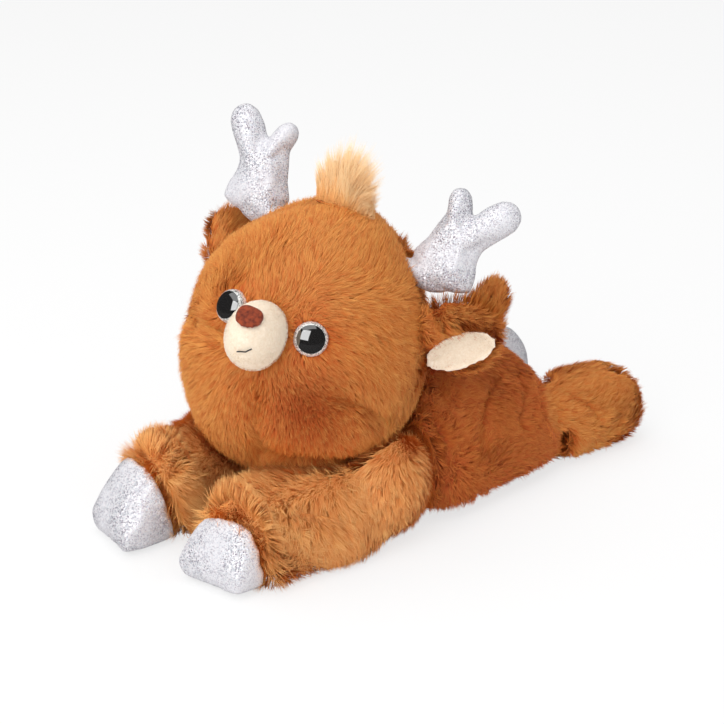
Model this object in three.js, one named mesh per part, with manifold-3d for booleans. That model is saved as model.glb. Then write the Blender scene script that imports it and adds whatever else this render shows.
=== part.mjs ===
// A plush deer lying on its belly, with its head turned to its left.
// Millimetres, +Z up. The deer faces -Y and its left side is +X.
// Each stuffed piece is one solid that stands for its fabric and its filling.

import * as THREE from 'three';
import { mergeVertices } from 'three/addons/utils/BufferGeometryUtils.js';
import Module from 'manifold-3d';

// Driving dimensions

const fit = {
  seamGap: 0.3, // between two pieces that are sewn or seated together
  turnGap: 0.9, // round a stuffed end that turns in its socket
  floorCut: 0.5, // how deep the floor presses into each piece that lies on it
  floorSlab: 40, // thickness of the slab that trims what lies below the floor
};

const torso = {
  length: 188,
  front: -80, // y of the chest
  halfWidth: 79,
  height: 91,
  belly: 13, // height of the widest line above the floor
  // how far the section fills out towards a square, where an ellipse is 1
  fullness: { above: 1.1, below: 1.1 },
  ends: [{ bluntness: 4 }, { bluntness: 4.2 }], // chest and rump
  // share of the length, of the half width and of the height
  shapeShares: [
    [0, 0.34, 0.5],
    [0.11, 0.46, 0.74],
    [0.25, 0.84, 0.94],
    [0.4, 0.94, 1.0],
    [0.6, 0.91, 0.98],
    [0.8, 0.93, 0.84],
    [1, 0.98, 0.66],
  ],
};

const head = {
  halfWidth: 67,
  halfHeight: 78,
  eggShare: 0.1, // how far the cheeks are wider than the brow
  centre: { x: 1, y: -60, z: 104 },
  turn: 28, // degrees, towards the deer's left
  tilt: 22, // degrees, face upwards
  lean: 14, // degrees, crown towards the deer's left
  swing: [-15, 15], // degrees, each way about the neck
};

const eye = {
  acrossShare: 0.36, // of the head's half width, from the middle of the face
  upShare: 0.07, // of the head's half height, above its centre
  diameter: 17,
  dome: 6,
  rim: 1.2,
  sunk: 3.2, // depth of the rim's back below the fur
  discThickness: 0.8,
  skin: 2.6, // fabric held between the disc and the washer
  postDiameter: 4.6,
  postLength: 13,
  ribDepth: 0.35,
  ribs: 4,
  washerDiameter: 14,
  washerThickness: 1.4,
  washerTeeth: 8,
  toothShare: 0.45, // of the washer's ring, cut between two teeth
};

// Shares of the head's half width, but for the height of its centre.
const muzzle = {
  widthShare: 0.24,
  heightShare: 0.285,
  depthShare: 0.365,
  proudShare: 0.07, // its centre in front of the head
  downShare: 0.03, // of the head's half height, its centre below the head's
};

const nose = {
  width: 14,
  height: 12.5,
  thickness: 4,
  rounding: 1.6,
  facing: 30, // degrees above straight ahead
};

const tuft = {
  halfWidth: 18,
  halfThickness: 7,
  length: 24,
  sunk: 7,
  crown: 13, // degrees in front of the top of the head
};

const ear = {
  length: 45,
  halfWidth: 22,
  halfThickness: 6,
  rootRadius: 8,
  rootHalfLength: 17,
  around: 6, // degrees behind the side of the head
  above: 14.5, // degrees above the head's widest line
  raise: { left: 34, right: 43 }, // degrees that each ear points upwards
  sweep: { left: 12, right: 67 }, // degrees that each ear points backwards
  face: { left: 34, right: 120 }, // degrees that each lining looks downwards
  bowl: 4.6, // depth of the hollow that holds the lining
  liningThickness: 2.6,
  bowlLengthShare: 0.41,
  bowlWidthShare: 0.5,
  bowlMiddleShare: 0.52, // of the ear's length
  bowlDropShare: 0.12, // of the ear's half width, towards its lower edge
  swing: [-15, 15], // degrees
  shapeShares: [
    [0, 0.84, 1],
    [0.25, 1, 0.95],
    [0.5, 0.92, 0.85],
    [0.78, 0.68, 0.7],
    [1, 0.34, 0.5],
  ],
};

const antler = {
  height: 58,
  spread: 33, // from the middle of the root to the outer tip
  inset: 5, // from the middle of the root to the inner tip, towards the crown
  innerShare: 0.92, // of the height, that the inner tip reaches
  foot: { out: 9, up: -2.2 }, // from the middle of the root to the middle of the foot
  halfThickness: 8,
  stemHalfWidth: 17,
  footHalfWidth: 24.5,
  outerHalfWidth: 11,
  innerHalfWidth: 8,
  rootRadius: 7.5,
  rootHalfLength: 19,
  above: 42, // degrees above the head's widest line, at the root
  behind: 4, // degrees behind the side of the head
  lean: 8, // degrees that the antler leans outwards
  swing: [-8, 8], // degrees
  forkShare: { out: 0.3, up: 0.47 }, // of the spread and the height, where the stem parts
  bendShare: { out: 0.33, up: 0.75 }, // of the way to the tip and the height, where a tine bends
  // share of the stem's length, and of the flare from its width to the foot's
  flareShares: [
    [0, 1],
    [0.2, 0.85],
    [0.42, 0.25],
    [0.6, 0],
    [1, 0],
  ],
};

const foreleg = {
  shoulder: { x: 50, y: -52 },
  shoulderRadius: 29,
  shoulderHeight: 68,
  paw: { left: { x: 40, y: -164 }, right: { x: 37, y: -173 } },
  toeTurn: 10, // degrees that the toe points outwards
  toeBend: 30, // how far back from the toe its turn begins
  halfWidth: 26,
  height: 52,
  below: 13,
  fullness: { above: 1.2, below: 2.4 },
  hoofLength: { left: 20, right: 36 }, // that shows beyond the fur, at the floor
  hoofDraw: 1.5, // how far the cap is drawn in under the fur
  capLean: { left: 4, right: 14 }, // degrees that the cap's rear seam leans forward at the top
  ends: [{ bluntness: 10, flatShare: 0.94 }, { bluntness: 6 }], // toe and shoulder
  swing: [-6, 18], // degrees, outwards is positive
  shapeShares: [
    [0, 0.96, 0.34],
    [0.1, 1.0, 0.72],
    [0.24, 1.0, 0.96],
    [0.5, 1.0, 1.0],
    [0.8, 1.02, 1.06],
    [1, 0.9, 1.1],
  ],
};

const hindleg = {
  hip: { x: 40, y: 68 },
  hipRadius: 22.5,
  hipHeight: 54,
  paw: { left: { x: 47, y: 164 }, right: { x: 47, y: 164 } },
  toeTurn: 0,
  toeBend: 30,
  halfWidth: 26,
  height: 52,
  below: 15,
  fullness: { above: 1.15, below: 1.3 },
  hoofDraw: 1.5,
  capTurn: 53, // degrees that the cap's seam faces the other foot
  capSetback: 14, // from the sole to the seam, along the seam's own facing
  ends: [{ bluntness: 2.6 }, { bluntness: 4 }], // foot and hip
  swing: [-6, 14],
  shapeShares: [
    [0, 0.94, 0.9],
    [0.2, 1.0, 1.0],
    [0.5, 1.0, 1.0],
    [0.8, 1.0, 0.98],
    [1, 0.9, 0.9],
  ],
};

const tail = {
  length: 36,
  halfWidth: 15,
  halfThickness: 7,
  rootRadius: 8,
  alongShare: 0.82, // of the torso's length, from the chest
  raise: 64, // degrees above straight back
  swing: [-20, 20],
  shapeShares: [
    [0, 0.5, 1],
    [0.35, 0.95, 1],
    [0.65, 1, 0.9],
    [1, 0.6, 0.6],
  ],
};

// Facets

// rings along a form and sides round it, or steps from pole to pole and segments round an axis
const facets = {
  torso: [14, 22],
  head: [14, 24],
  leg: [11, 14],
  root: [10, 14],
  bead: [6, 12],
  small: [8, 12],
  nose: [3, 5],
  domeSteps: 5,
  turnedSegments: 16,
};

const sweepStops = 3;
const weldDistance = 0.001;

// Finishes

const finish = {
  fur: { color: 0xb66a2a, roughness: 0.95, metalness: 0 },
  paleFur: { color: 0xc98a4e, roughness: 0.95, metalness: 0 },
  pile: { color: 0xecd9c2, roughness: 0.9, metalness: 0 },
  noseFlock: { color: 0x7a3c20, roughness: 0.85, metalness: 0 },
  lame: { color: 0xd9d8de, roughness: 0.35, metalness: 0.6 },
  glitter: { color: 0xb9bbb8, roughness: 0.3, metalness: 0.7 },
  eyeLens: { color: 0x0b0a0a, roughness: 0.06, metalness: 0 },
  washer: { color: 0xe8e8e2, roughness: 0.5, metalness: 0 },
};

const wasm = await Module();
wasm.setup();

const X = new THREE.Vector3(1, 0, 0);
const Y = new THREE.Vector3(0, 1, 0);
const Z = new THREE.Vector3(0, 0, 1);
const radians = THREE.MathUtils.degToRad;

// Solids

// A closed geometry, as a solid that can be cut and joined.
function solid(geometry) {
  const bare = geometry.index ? geometry.toNonIndexed() : geometry.clone();
  bare.deleteAttribute('normal');
  bare.deleteAttribute('uv');
  const merged = mergeVertices(bare, weldDistance);
  return new wasm.Manifold(
    new wasm.Mesh({
      numProp: 3,
      vertProperties: merged.attributes.position.array,
      triVerts: merged.index.array,
    }),
  );
}

// The faces of a solid, as a geometry in the frame of the group that carries it.
function faces(body, carrier) {
  const { vertProperties, triVerts } = body.getMesh();
  const geometry = new THREE.BufferGeometry();
  geometry.setAttribute('position', new THREE.BufferAttribute(vertProperties, 3));
  geometry.setIndex(new THREE.BufferAttribute(triVerts, 1));
  carrier.updateWorldMatrix(true, false);
  geometry.applyMatrix4(carrier.matrixWorld.clone().invert());
  geometry.computeVertexNormals();
  return geometry;
}

function addPiece(carrier, name, body, look) {
  const mesh = new THREE.Mesh(faces(body, carrier), new THREE.MeshStandardMaterial(look));
  mesh.name = name;
  carrier.add(mesh);
}

// A group at a place, with its own Z axis along a direction.
function pivotGroup(parent, name, place, direction) {
  const group = new THREE.Group();
  group.name = name;
  group.position.copy(place);
  group.quaternion.setFromUnitVectors(Z, direction.clone().normalize());
  parent.add(group);
  return group;
}

// Forms

// A smooth curve through one column of a table whose first column runs from 0 to 1.
function through(shares, column) {
  const slope = (i) => {
    const before = shares[Math.max(i - 1, 0)];
    const after = shares[Math.min(i + 1, shares.length - 1)];
    return (after[column] - before[column]) / (after[0] - before[0]);
  };
  return (t) => {
    let i = 0;
    while (i < shares.length - 2 && t > shares[i + 1][0]) {
      i += 1;
    }
    const step = shares[i + 1][0] - shares[i][0];
    const u = (t - shares[i][0]) / step;
    const fromStart = shares[i][column] * (1 + 2 * u) * (1 - u) ** 2 + slope(i) * step * u * (1 - u) ** 2;
    const fromEnd = shares[i + 1][column] * (3 - 2 * u) * u ** 2 + slope(i + 1) * step * u ** 2 * (u - 1);
    return fromStart + fromEnd;
  };
}

// Rings of points, each closed on itself, skinned over and closed by a point at each end.
function skinned(start, rings, end) {
  const sides = rings[0].length;
  const points = [start, ...rings.flat(), end];
  const index = [];
  const at = (ring, side) => 1 + ring * sides + (side % sides);
  const last = points.length - 1;
  for (let side = 0; side < sides; side += 1) {
    index.push(0, at(0, side), at(0, side + 1));
    index.push(last, at(rings.length - 1, side + 1), at(rings.length - 1, side));
    for (let ring = 0; ring < rings.length - 1; ring += 1) {
      index.push(at(ring, side), at(ring + 1, side), at(ring, side + 1));
      index.push(at(ring + 1, side), at(ring + 1, side + 1), at(ring, side + 1));
    }
  }
  const geometry = new THREE.BufferGeometry().setFromPoints(points);
  geometry.setIndex(index);
  return geometry;
}

// How much of its girth a stuffed form still has at t, as its ends close over.
// A flat end keeps a share of its girth right to the end.
function closingShare(t, ends) {
  const { bluntness, flatShare = 0 } = t < 0.5 ? ends[0] : ends[1];
  const fall = Math.abs(2 * t - 1) ** bluntness;
  return Math.sqrt(1 - fall * (1 - flatShare ** 2));
}

// A section that is an ellipse.
const round = { above: 1, below: 1 };

// A cosine or sine that fills its circle out towards a square.
const filled = (part, fullness) => Math.sign(part) * Math.abs(part) ** (1 / fullness);

// A stuffed tube that follows a spine. At each share of its length it has a half width across,
// and a half height above and below the spine. Its ends close over as bluntly as asked.
// A grown form is larger all round by the same distance.
function stuffed({ spine, across, above, below, up, fullness = round, ends, facets }, grown = 0) {
  const [ringCount, sides] = facets;
  const rings = [];
  const start = spine.getPointAt(0).addScaledVector(spine.getTangentAt(0), -grown);
  const end = spine.getPointAt(1).addScaledVector(spine.getTangentAt(1), grown);
  const first = ends[0].flatShare ? 0 : 1;
  for (let ring = first; ring < ringCount; ring += 1) {
    const t = (1 - Math.cos((Math.PI * ring) / ringCount)) / 2;
    const closing = closingShare(t, ends);
    const forward = spine.getTangentAt(t);
    const sideways = new THREE.Vector3().crossVectors(forward, up).normalize();
    const upwards = new THREE.Vector3().crossVectors(sideways, forward);
    const middle = spine.getPointAt(t).addScaledVector(forward, grown * (2 * t - 1));
    const points = [];
    for (let side = 0; side < sides; side += 1) {
      const angle = (2 * Math.PI * side) / sides;
      const upper = angle < Math.PI;
      const full = upper ? fullness.above : fullness.below;
      const reach = filled(Math.cos(angle), full);
      const rise = filled(Math.sin(angle), full);
      const tall = upper ? above(t) : below(t);
      points.push(
        middle
          .clone()
          .addScaledVector(sideways, reach * (across(t) * closing + grown))
          .addScaledVector(upwards, rise * (tall * closing + grown)),
      );
    }
    rings.push(points);
  }
  return skinned(start, rings, end);
}

// A profile of [radius, height] points turned about +Z. It starts and ends on the axis.
function turned(profile, segments = facets.turnedSegments) {
  const points = profile.map(([radius, height]) => new THREE.Vector2(radius, height));
  return new THREE.LatheGeometry(points, segments).rotateX(Math.PI / 2);
}

// The profile of a turned ball or egg, from its bottom pole to its top pole.
function roundProfile(radius, halfHeight, steps, swell = () => 1) {
  const profile = [];
  for (let step = 0; step <= steps; step += 1) {
    const angle = (Math.PI * step) / steps;
    const level = -Math.cos(angle);
    const onAxis = step === 0 || step === steps;
    profile.push([onAxis ? 0 : radius * Math.sin(angle) * swell(level), halfHeight * level]);
  }
  return profile;
}

// A geometry set down at a place, with its +Z along a direction.
function placed(geometry, place, direction = Z) {
  const turn = new THREE.Quaternion().setFromUnitVectors(Z, direction.clone().normalize());
  return geometry.applyQuaternion(turn).translate(place.x, place.y, place.z);
}

// The sewn edge that a limp piece turns on, as a long bead along the line of its stitches.
function bead(place, axis, radius, halfLength, grown = 0) {
  const [steps, segments] = facets.bead;
  return placed(turned(roundProfile(radius + grown, halfLength + grown, steps), segments), place, axis);
}

// A geometry turned by some degrees about a line through a place.
function turnedAbout(geometry, place, axis, degrees) {
  const back = new THREE.Matrix4().makeTranslation(-place.x, -place.y, -place.z);
  const turn = new THREE.Matrix4().makeRotationAxis(axis.clone().normalize(), radians(degrees));
  const forth = new THREE.Matrix4().makeTranslation(place.x, place.y, place.z);
  return geometry.clone().applyMatrix4(forth.multiply(turn).multiply(back));
}

// A moving body cut clear of a fixed one, wherever its joint lets it swing.
function clearOf(body, obstacle, place, axis, [least, most]) {
  let left = body;
  for (let stop = 0; stop <= sweepStops; stop += 1) {
    const degrees = least + ((most - least) * stop) / sweepStops;
    left = left.subtract(solid(turnedAbout(obstacle, place, axis, -degrees)));
  }
  return left.subtract(solid(obstacle));
}

// A body trimmed level with the floor.
function trimmed(body) {
  const span = 2 * (hindleg.paw.left.y - foreleg.paw.left.y);
  const slab = new THREE.BoxGeometry(span, span, fit.floorSlab);
  return body.subtract(solid(slab.translate(0, 0, -fit.floorSlab / 2)));
}

// Everything beyond a plane, as a block of the given reach.
function halfSpace(place, facing, reach) {
  const block = new THREE.BoxGeometry(reach, reach, reach).translate(0, 0, reach / 2);
  return placed(block, place, facing);
}

// The largest of the separate bodies that a cut leaves.
function largest(body) {
  const bodies = body.decompose();
  return bodies.reduce((best, next) => (next.volume() > best.volume() ? next : best));
}

const deer = new THREE.Group();

// Frames

const headGroup = new THREE.Group();
headGroup.name = 'head_pivot';
headGroup.position.set(head.centre.x, head.centre.y, head.centre.z);
headGroup.rotation.set(radians(-head.tilt), radians(head.lean), radians(head.turn), 'ZXY');
deer.add(headGroup);
headGroup.updateMatrixWorld(true);

// A geometry made in the head's own frame, moved to where the head is.
const onHead = (geometry) => geometry.applyMatrix4(headGroup.matrixWorld);

// The radius and slope of the egg that the head is stuffed to.
function headSwell(level) {
  return 1 - head.eggShare * level;
}

function headEgg(grown = 0) {
  const [steps, segments] = facets.head;
  const profile = roundProfile(head.halfWidth + grown, head.halfHeight + grown, steps, headSwell);
  return turned(profile, segments);
}

// The point of the egg in a direction given by an angle round from the face and one above it.
function headPoint(around, above) {
  const level = Math.sin(radians(above));
  const reach = head.halfWidth * Math.cos(radians(above)) * headSwell(level);
  const x = reach * Math.sin(radians(around));
  const y = -reach * Math.cos(radians(around));
  return new THREE.Vector3(x, y, head.halfHeight * level);
}

function headNormal(point) {
  const flat = head.halfWidth ** 2;
  return new THREE.Vector3(point.x / flat, point.y / flat, point.z / head.halfHeight ** 2).normalize();
}

// Torso

function torsoForm(grown = 0) {
  const middle = torso.belly - fit.floorCut;
  const spine = new THREE.LineCurve3(
    new THREE.Vector3(0, torso.front, middle),
    new THREE.Vector3(0, torso.front + torso.length, middle),
  );
  const wide = through(torso.shapeShares, 1);
  const tall = through(torso.shapeShares, 2);
  return stuffed(
    {
      spine,
      across: (t) => torso.halfWidth * wide(t),
      above: (t) => torso.height * tall(t) - middle,
      below: () => torso.belly,
      up: Z,
      fullness: torso.fullness,
      ends: torso.ends,
      facets: facets.torso,
    },
    grown,
  );
}

let torsoBody = solid(torsoForm()).subtract(solid(onHead(headEgg(fit.turnGap))));

// Legs

// The round upper end of a leg, which turns in its socket in the torso.
function legRoot({ x, y }, radius, height, grown = 0) {
  const [steps, segments] = facets.root;
  const middle = height / 2 - fit.floorCut;
  const profile = roundProfile(radius + grown, height / 2 + grown, steps);
  return turned(profile, segments).translate(x, y, middle);
}

// A leg's form runs straight from its root and bends to point its toe outwards.
function legForm(leg, root, side, paw, grown = 0) {
  const middle = leg.below - fit.floorCut;
  const toe = new THREE.Vector3(side * paw.x, paw.y, middle);
  const joint = new THREE.Vector3(side * root.x, root.y, middle);
  const forwards = Math.sign(paw.y - root.y);
  const turn = radians(leg.toeTurn);
  const pointing = new THREE.Vector3(side * Math.sin(turn), forwards * Math.cos(turn), 0);
  const bend = toe.clone().addScaledVector(pointing, -leg.toeBend);
  const spine = new THREE.CubicBezierCurve3(toe, bend, bend.clone().lerp(joint, 1 / 2), joint);
  const wide = through(leg.shapeShares, 1);
  const tall = through(leg.shapeShares, 2);
  return stuffed(
    {
      spine,
      across: (t) => leg.halfWidth * wide(t),
      above: (t) => leg.height * tall(t) - middle,
      below: () => leg.below,
      up: Z,
      fullness: leg.fullness,
      ends: leg.ends,
      facets: facets.leg,
    },
    grown,
  );
}

// A leg parted by the plane of its seam into the fur and the cap beyond it.
// The cap is drawn in under the fur by its own form.
function partedAtSeam(leg, capForm, seam, facing, reach) {
  const beyond = (place) => solid(halfSpace(place, facing, reach));
  const behind = seam.clone().addScaledVector(facing, -fit.seamGap);
  return {
    fur: largest(trimmed(leg.subtract(beyond(behind)))),
    cap: largest(trimmed(capForm.intersect(beyond(seam)))),
  };
}

function addForeleg(side, name) {
  const shoulder = new THREE.Vector3(side * foreleg.shoulder.x, foreleg.shoulder.y, 0);
  const axis = new THREE.Vector3(0, 0, side);
  const root = (grown) => legRoot(shoulder, foreleg.shoulderRadius, foreleg.shoulderHeight, grown);
  const carrier = pivotGroup(deer, `foreleg_${name}_pivot`, shoulder, axis);

  const paw = foreleg.paw[name];
  const form = (grown) => solid(legForm(foreleg, foreleg.shoulder, side, paw, grown));
  const limb = clearOf(form(0), torsoForm(fit.seamGap), shoulder, axis, foreleg.swing);
  const whole = limb.add(solid(root(0)));
  const leg = clearOf(whole, onHead(headEgg(fit.turnGap)), shoulder, axis, foreleg.swing);

  const turn = radians(foreleg.toeTurn);
  const lean = radians(foreleg.capLean[name]);
  const pointing = new THREE.Vector3(side * Math.sin(turn), -Math.cos(turn), 0);
  const facing = pointing.clone().multiplyScalar(Math.cos(lean)).addScaledVector(Z, -Math.sin(lean));
  const toe = new THREE.Vector3(side * paw.x, paw.y, 0);
  const seam = toe.addScaledVector(pointing, -foreleg.hoofLength[name]);
  const reach = 2 * (foreleg.halfWidth + foreleg.height);
  const { fur, cap } = partedAtSeam(leg, form(-foreleg.hoofDraw), seam, facing, reach);
  addPiece(carrier, `foreleg_${name}`, fur, finish.fur);
  addPiece(carrier, `fore_hoof_${name}`, cap, finish.lame);
  torsoBody = torsoBody.subtract(solid(root(fit.turnGap)));
}

function addHindleg(side, name) {
  const hip = new THREE.Vector3(side * hindleg.hip.x, hindleg.hip.y, 0);
  const axis = new THREE.Vector3(0, 0, -side);
  const root = (grown) => legRoot(hip, hindleg.hipRadius, hindleg.hipHeight, grown);
  const carrier = pivotGroup(deer, `hindleg_${name}_pivot`, hip, axis);

  const paw = hindleg.paw[name];
  const form = (grown) => {
    const whole = solid(legForm(hindleg, hindleg.hip, side, paw, grown));
    return clearOf(whole, torsoForm(fit.seamGap), hip, axis, hindleg.swing);
  };
  const leg = form(0).add(solid(root(0)));

  const turn = radians(hindleg.capTurn);
  const facing = new THREE.Vector3(-side * Math.sin(turn), Math.cos(turn), 0);
  const sole = new THREE.Vector3(side * paw.x, paw.y, 0);
  const seam = sole.addScaledVector(facing, -hindleg.capSetback);
  const reach = 2 * (paw.y - hindleg.hip.y);
  const { fur, cap } = partedAtSeam(leg, form(-hindleg.hoofDraw), seam, facing, reach);
  addPiece(carrier, `hind_leg_${name}`, fur, finish.fur);
  addPiece(carrier, `hind_hoof_${name}`, cap, finish.lame);
  torsoBody = torsoBody.subtract(solid(root(fit.turnGap)));
}

for (const [side, name] of [
  [1, 'left'],
  [-1, 'right'],
]) {
  addForeleg(side, name);
  addHindleg(side, name);
}

// Tail

function addTail() {
  const y = torso.front + torso.length * tail.alongShare;
  const closing = closingShare(tail.alongShare, torso.ends);
  const middle = torso.belly - fit.floorCut;
  const tall = through(torso.shapeShares, 2)(tail.alongShare);
  const top = middle + (torso.height * tall - middle) * closing;
  const root = new THREE.Vector3(0, y, top);
  const raise = radians(tail.raise);
  const along = new THREE.Vector3(0, Math.cos(raise), Math.sin(raise));
  const flat = new THREE.Vector3().crossVectors(X, along);
  const carrier = pivotGroup(deer, 'tail_pivot', root, flat);

  const wide = through(tail.shapeShares, 1);
  const thick = through(tail.shapeShares, 2);
  const form = stuffed({
    spine: new THREE.LineCurve3(root, root.clone().addScaledVector(along, tail.length)),
    across: (t) => tail.halfWidth * wide(t),
    above: (t) => tail.halfThickness * thick(t),
    below: (t) => tail.halfThickness * thick(t),
    up: flat,
    ends: [{ bluntness: 2 }, { bluntness: 2 }],
    facets: facets.small,
  });
  const ball = (grown) => bead(root, flat, tail.rootRadius, tail.halfThickness, grown);
  const fluff = clearOf(solid(form), torsoForm(fit.seamGap), root, flat, tail.swing);
  addPiece(carrier, 'tail', largest(fluff.add(solid(ball(0)))), finish.fur);
  torsoBody = torsoBody.subtract(solid(ball(fit.seamGap)));
}

addTail();
addPiece(deer, 'torso', largest(trimmed(torsoBody)), finish.fur);

// Head

let headBody = solid(headEgg());

// Eyes: a clear dome on a ribbed post, a glitter disc behind it and a toothed washer inside the head.

function eyeLensProfile() {
  const radius = eye.diameter / 2;
  const post = eye.postDiameter / 2;
  const profile = [];
  for (let step = 0; step <= facets.domeSteps; step += 1) {
    const angle = ((Math.PI / 2) * step) / facets.domeSteps;
    const onAxis = step === facets.domeSteps;
    profile.push([onAxis ? 0 : radius * Math.cos(angle), eye.rim + eye.dome * Math.sin(angle)]);
  }
  const rib = (eye.postLength - eye.discThickness - eye.skin) / (eye.ribs + 1);
  const under = [[0, -eye.postLength]];
  for (let count = 0; count < eye.ribs; count += 1) {
    const height = -eye.postLength + rib * (count + 1);
    under.push([post - eye.ribDepth, height - rib / 2]);
    under.push([post, height]);
  }
  under.push([post - eye.ribDepth, -eye.discThickness - eye.skin]);
  under.push([post - eye.ribDepth, 0]);
  under.push([radius, 0]);
  return [...under, ...profile];
}

function eyeDiscProfile() {
  const inner = eye.postDiameter / 2 + fit.seamGap;
  const outer = eye.diameter / 2;
  const top = -fit.seamGap;
  const bottom = -fit.seamGap - eye.discThickness;
  return [
    [inner, bottom],
    [outer, bottom],
    [outer, top],
    [inner, top],
    [inner, bottom],
  ];
}

function washerTop() {
  return -2 * fit.seamGap - eye.discThickness - fit.seamGap - eye.skin - fit.seamGap;
}

function eyeWasher() {
  const polar = (radius, angle) => new THREE.Vector2(radius * Math.cos(angle), radius * Math.sin(angle));
  const outer = eye.washerDiameter / 2;
  const grip = eye.postDiameter / 2 + fit.seamGap;
  const slot = grip + (outer - grip) * eye.toothShare;
  const pitch = (2 * Math.PI) / eye.washerTeeth;
  const rim = [];
  const bore = [];
  for (let tooth = 0; tooth < eye.washerTeeth; tooth += 1) {
    const from = pitch * tooth;
    const gripEnd = from + pitch * (1 - eye.toothShare);
    rim.push(polar(outer, from + pitch / 4), polar(outer, from + (3 * pitch) / 4));
    bore.push(polar(slot, from), polar(grip, from), polar(grip, gripEnd), polar(slot, gripEnd));
  }
  const shape = new THREE.Shape(rim);
  shape.holes.push(new THREE.Path(bore));
  const settings = { depth: eye.washerThickness, bevelEnabled: false };
  return new THREE.ExtrudeGeometry(shape, settings).translate(0, 0, washerTop() - eye.washerThickness);
}

// The hollow in the head that an eye is sunk in, down to the tip of its post.
function eyeHollowProfile() {
  const clear = fit.seamGap;
  const disc = eye.diameter / 2 + clear;
  const post = eye.postDiameter / 2 + clear;
  const pocket = eye.washerDiameter / 2 + clear;
  const seat = -2 * clear - eye.discThickness;
  const top = washerTop() + clear;
  const bottom = top - eye.washerThickness - 2 * clear;
  const mouth = eye.sunk + eye.dome;
  return [
    [0, -eye.postLength - clear],
    [post, -eye.postLength - clear],
    [post, bottom],
    [pocket, bottom],
    [pocket, top],
    [post, top],
    [post, seat],
    [disc, seat],
    [disc, mouth],
    [0, mouth],
  ];
}

// The room that each eye takes up, in the head's own frame.
const eyeHollows = [];

function addEye(side, name) {
  const x = side * head.halfWidth * eye.acrossShare;
  const level = eye.upShare;
  const reach = head.halfWidth * Math.sqrt(1 - level ** 2) * headSwell(level);
  const surface = new THREE.Vector3(x, -Math.sqrt(reach ** 2 - x ** 2), head.halfHeight * level);
  const facing = headNormal(surface);
  const seat = surface.clone().addScaledVector(facing, -eye.sunk);
  const carrier = pivotGroup(headGroup, `eye_${name}_seat`, seat, facing);
  const here = (geometry) => placed(geometry, seat, facing);
  const hollow = here(turned(eyeHollowProfile()));
  headBody = headBody.subtract(solid(hollow));
  eyeHollows.push(hollow);
  addPiece(carrier, `eye_lens_${name}`, solid(onHead(here(turned(eyeLensProfile())))), finish.eyeLens);
  addPiece(carrier, `eye_disc_${name}`, solid(onHead(here(turned(eyeDiscProfile())))), finish.glitter);
  addPiece(carrier, `eye_washer_${name}`, solid(onHead(here(eyeWasher()))), finish.washer);
}

// Muzzle and nose

const muzzleCentre = new THREE.Vector3(
  0,
  -head.halfWidth * (1 + muzzle.proudShare),
  -head.halfHeight * muzzle.downShare,
);

const muzzleHalf = {
  width: head.halfWidth * muzzle.widthShare,
  height: head.halfWidth * muzzle.heightShare,
  depth: head.halfWidth * muzzle.depthShare,
};

function muzzleForm(grown = 0) {
  const [steps, segments] = facets.root;
  return new THREE.SphereGeometry(1, segments, steps)
    .rotateX(Math.PI / 2)
    .scale(muzzleHalf.width + grown, muzzleHalf.depth + grown, muzzleHalf.height + grown)
    .translate(muzzleCentre.x, muzzleCentre.y, muzzleCentre.z);
}

function addMuzzle() {
  let dome = solid(onHead(muzzleForm())).subtract(solid(onHead(headEgg(fit.seamGap))));
  for (const hollow of eyeHollows) {
    dome = dome.subtract(solid(onHead(hollow)));
  }
  addPiece(headGroup, 'muzzle', largest(dome), finish.pile);
}

function addNose() {
  const facing = new THREE.Vector3(0, -Math.cos(radians(nose.facing)), Math.sin(radians(nose.facing)));
  const place = muzzleCentre
    .clone()
    .add(new THREE.Vector3(0, facing.y * muzzleHalf.depth, facing.z * muzzleHalf.height));
  const wide = nose.width / 2 - nose.rounding;
  const tall = nose.height / 2 - nose.rounding;
  const shape = new THREE.Shape();
  shape.moveTo(0, -tall);
  shape.bezierCurveTo(wide, -tall, wide, 0, wide, tall / 3);
  shape.bezierCurveTo(wide, tall, wide / 2, tall, 0, tall);
  shape.bezierCurveTo(-wide / 2, tall, -wide, tall, -wide, tall / 3);
  shape.bezierCurveTo(-wide, 0, -wide, -tall, 0, -tall);
  const button = new THREE.ExtrudeGeometry(shape, {
    depth: nose.thickness,
    bevelThickness: nose.rounding,
    bevelSize: nose.rounding,
    bevelSegments: facets.nose[0],
    curveSegments: facets.nose[1],
  });
  button.translate(0, 0, -nose.thickness);
  const upright = new THREE.Matrix4().makeBasis(X, new THREE.Vector3().crossVectors(facing, X), facing);
  const seated = button.applyMatrix4(upright).translate(place.x, place.y, place.z);
  const body = solid(onHead(seated)).subtract(solid(onHead(muzzleForm(fit.seamGap))));
  addPiece(headGroup, 'nose', largest(body), finish.noseFlock);
}

// Crown tuft

function addTuft() {
  const crown = radians(tuft.crown);
  const up = new THREE.Vector3(0, -Math.sin(crown), Math.cos(crown));
  const top = new THREE.Vector3(0, -head.halfWidth * Math.sin(crown), head.halfHeight * Math.cos(crown));
  const from = top.clone().addScaledVector(up, -tuft.sunk);
  const fan = stuffed({
    spine: new THREE.LineCurve3(from, from.clone().addScaledVector(up, tuft.length)),
    across: () => tuft.halfWidth,
    above: () => tuft.halfThickness,
    below: () => tuft.halfThickness,
    up: Y,
    ends: [{ bluntness: 2 }, { bluntness: 2 }],
    facets: facets.small,
  });
  const body = solid(onHead(fan)).subtract(solid(onHead(headEgg(fit.seamGap))));
  addPiece(headGroup, 'crown_tuft', largest(body), finish.paleFur);
}

// Ears

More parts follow.
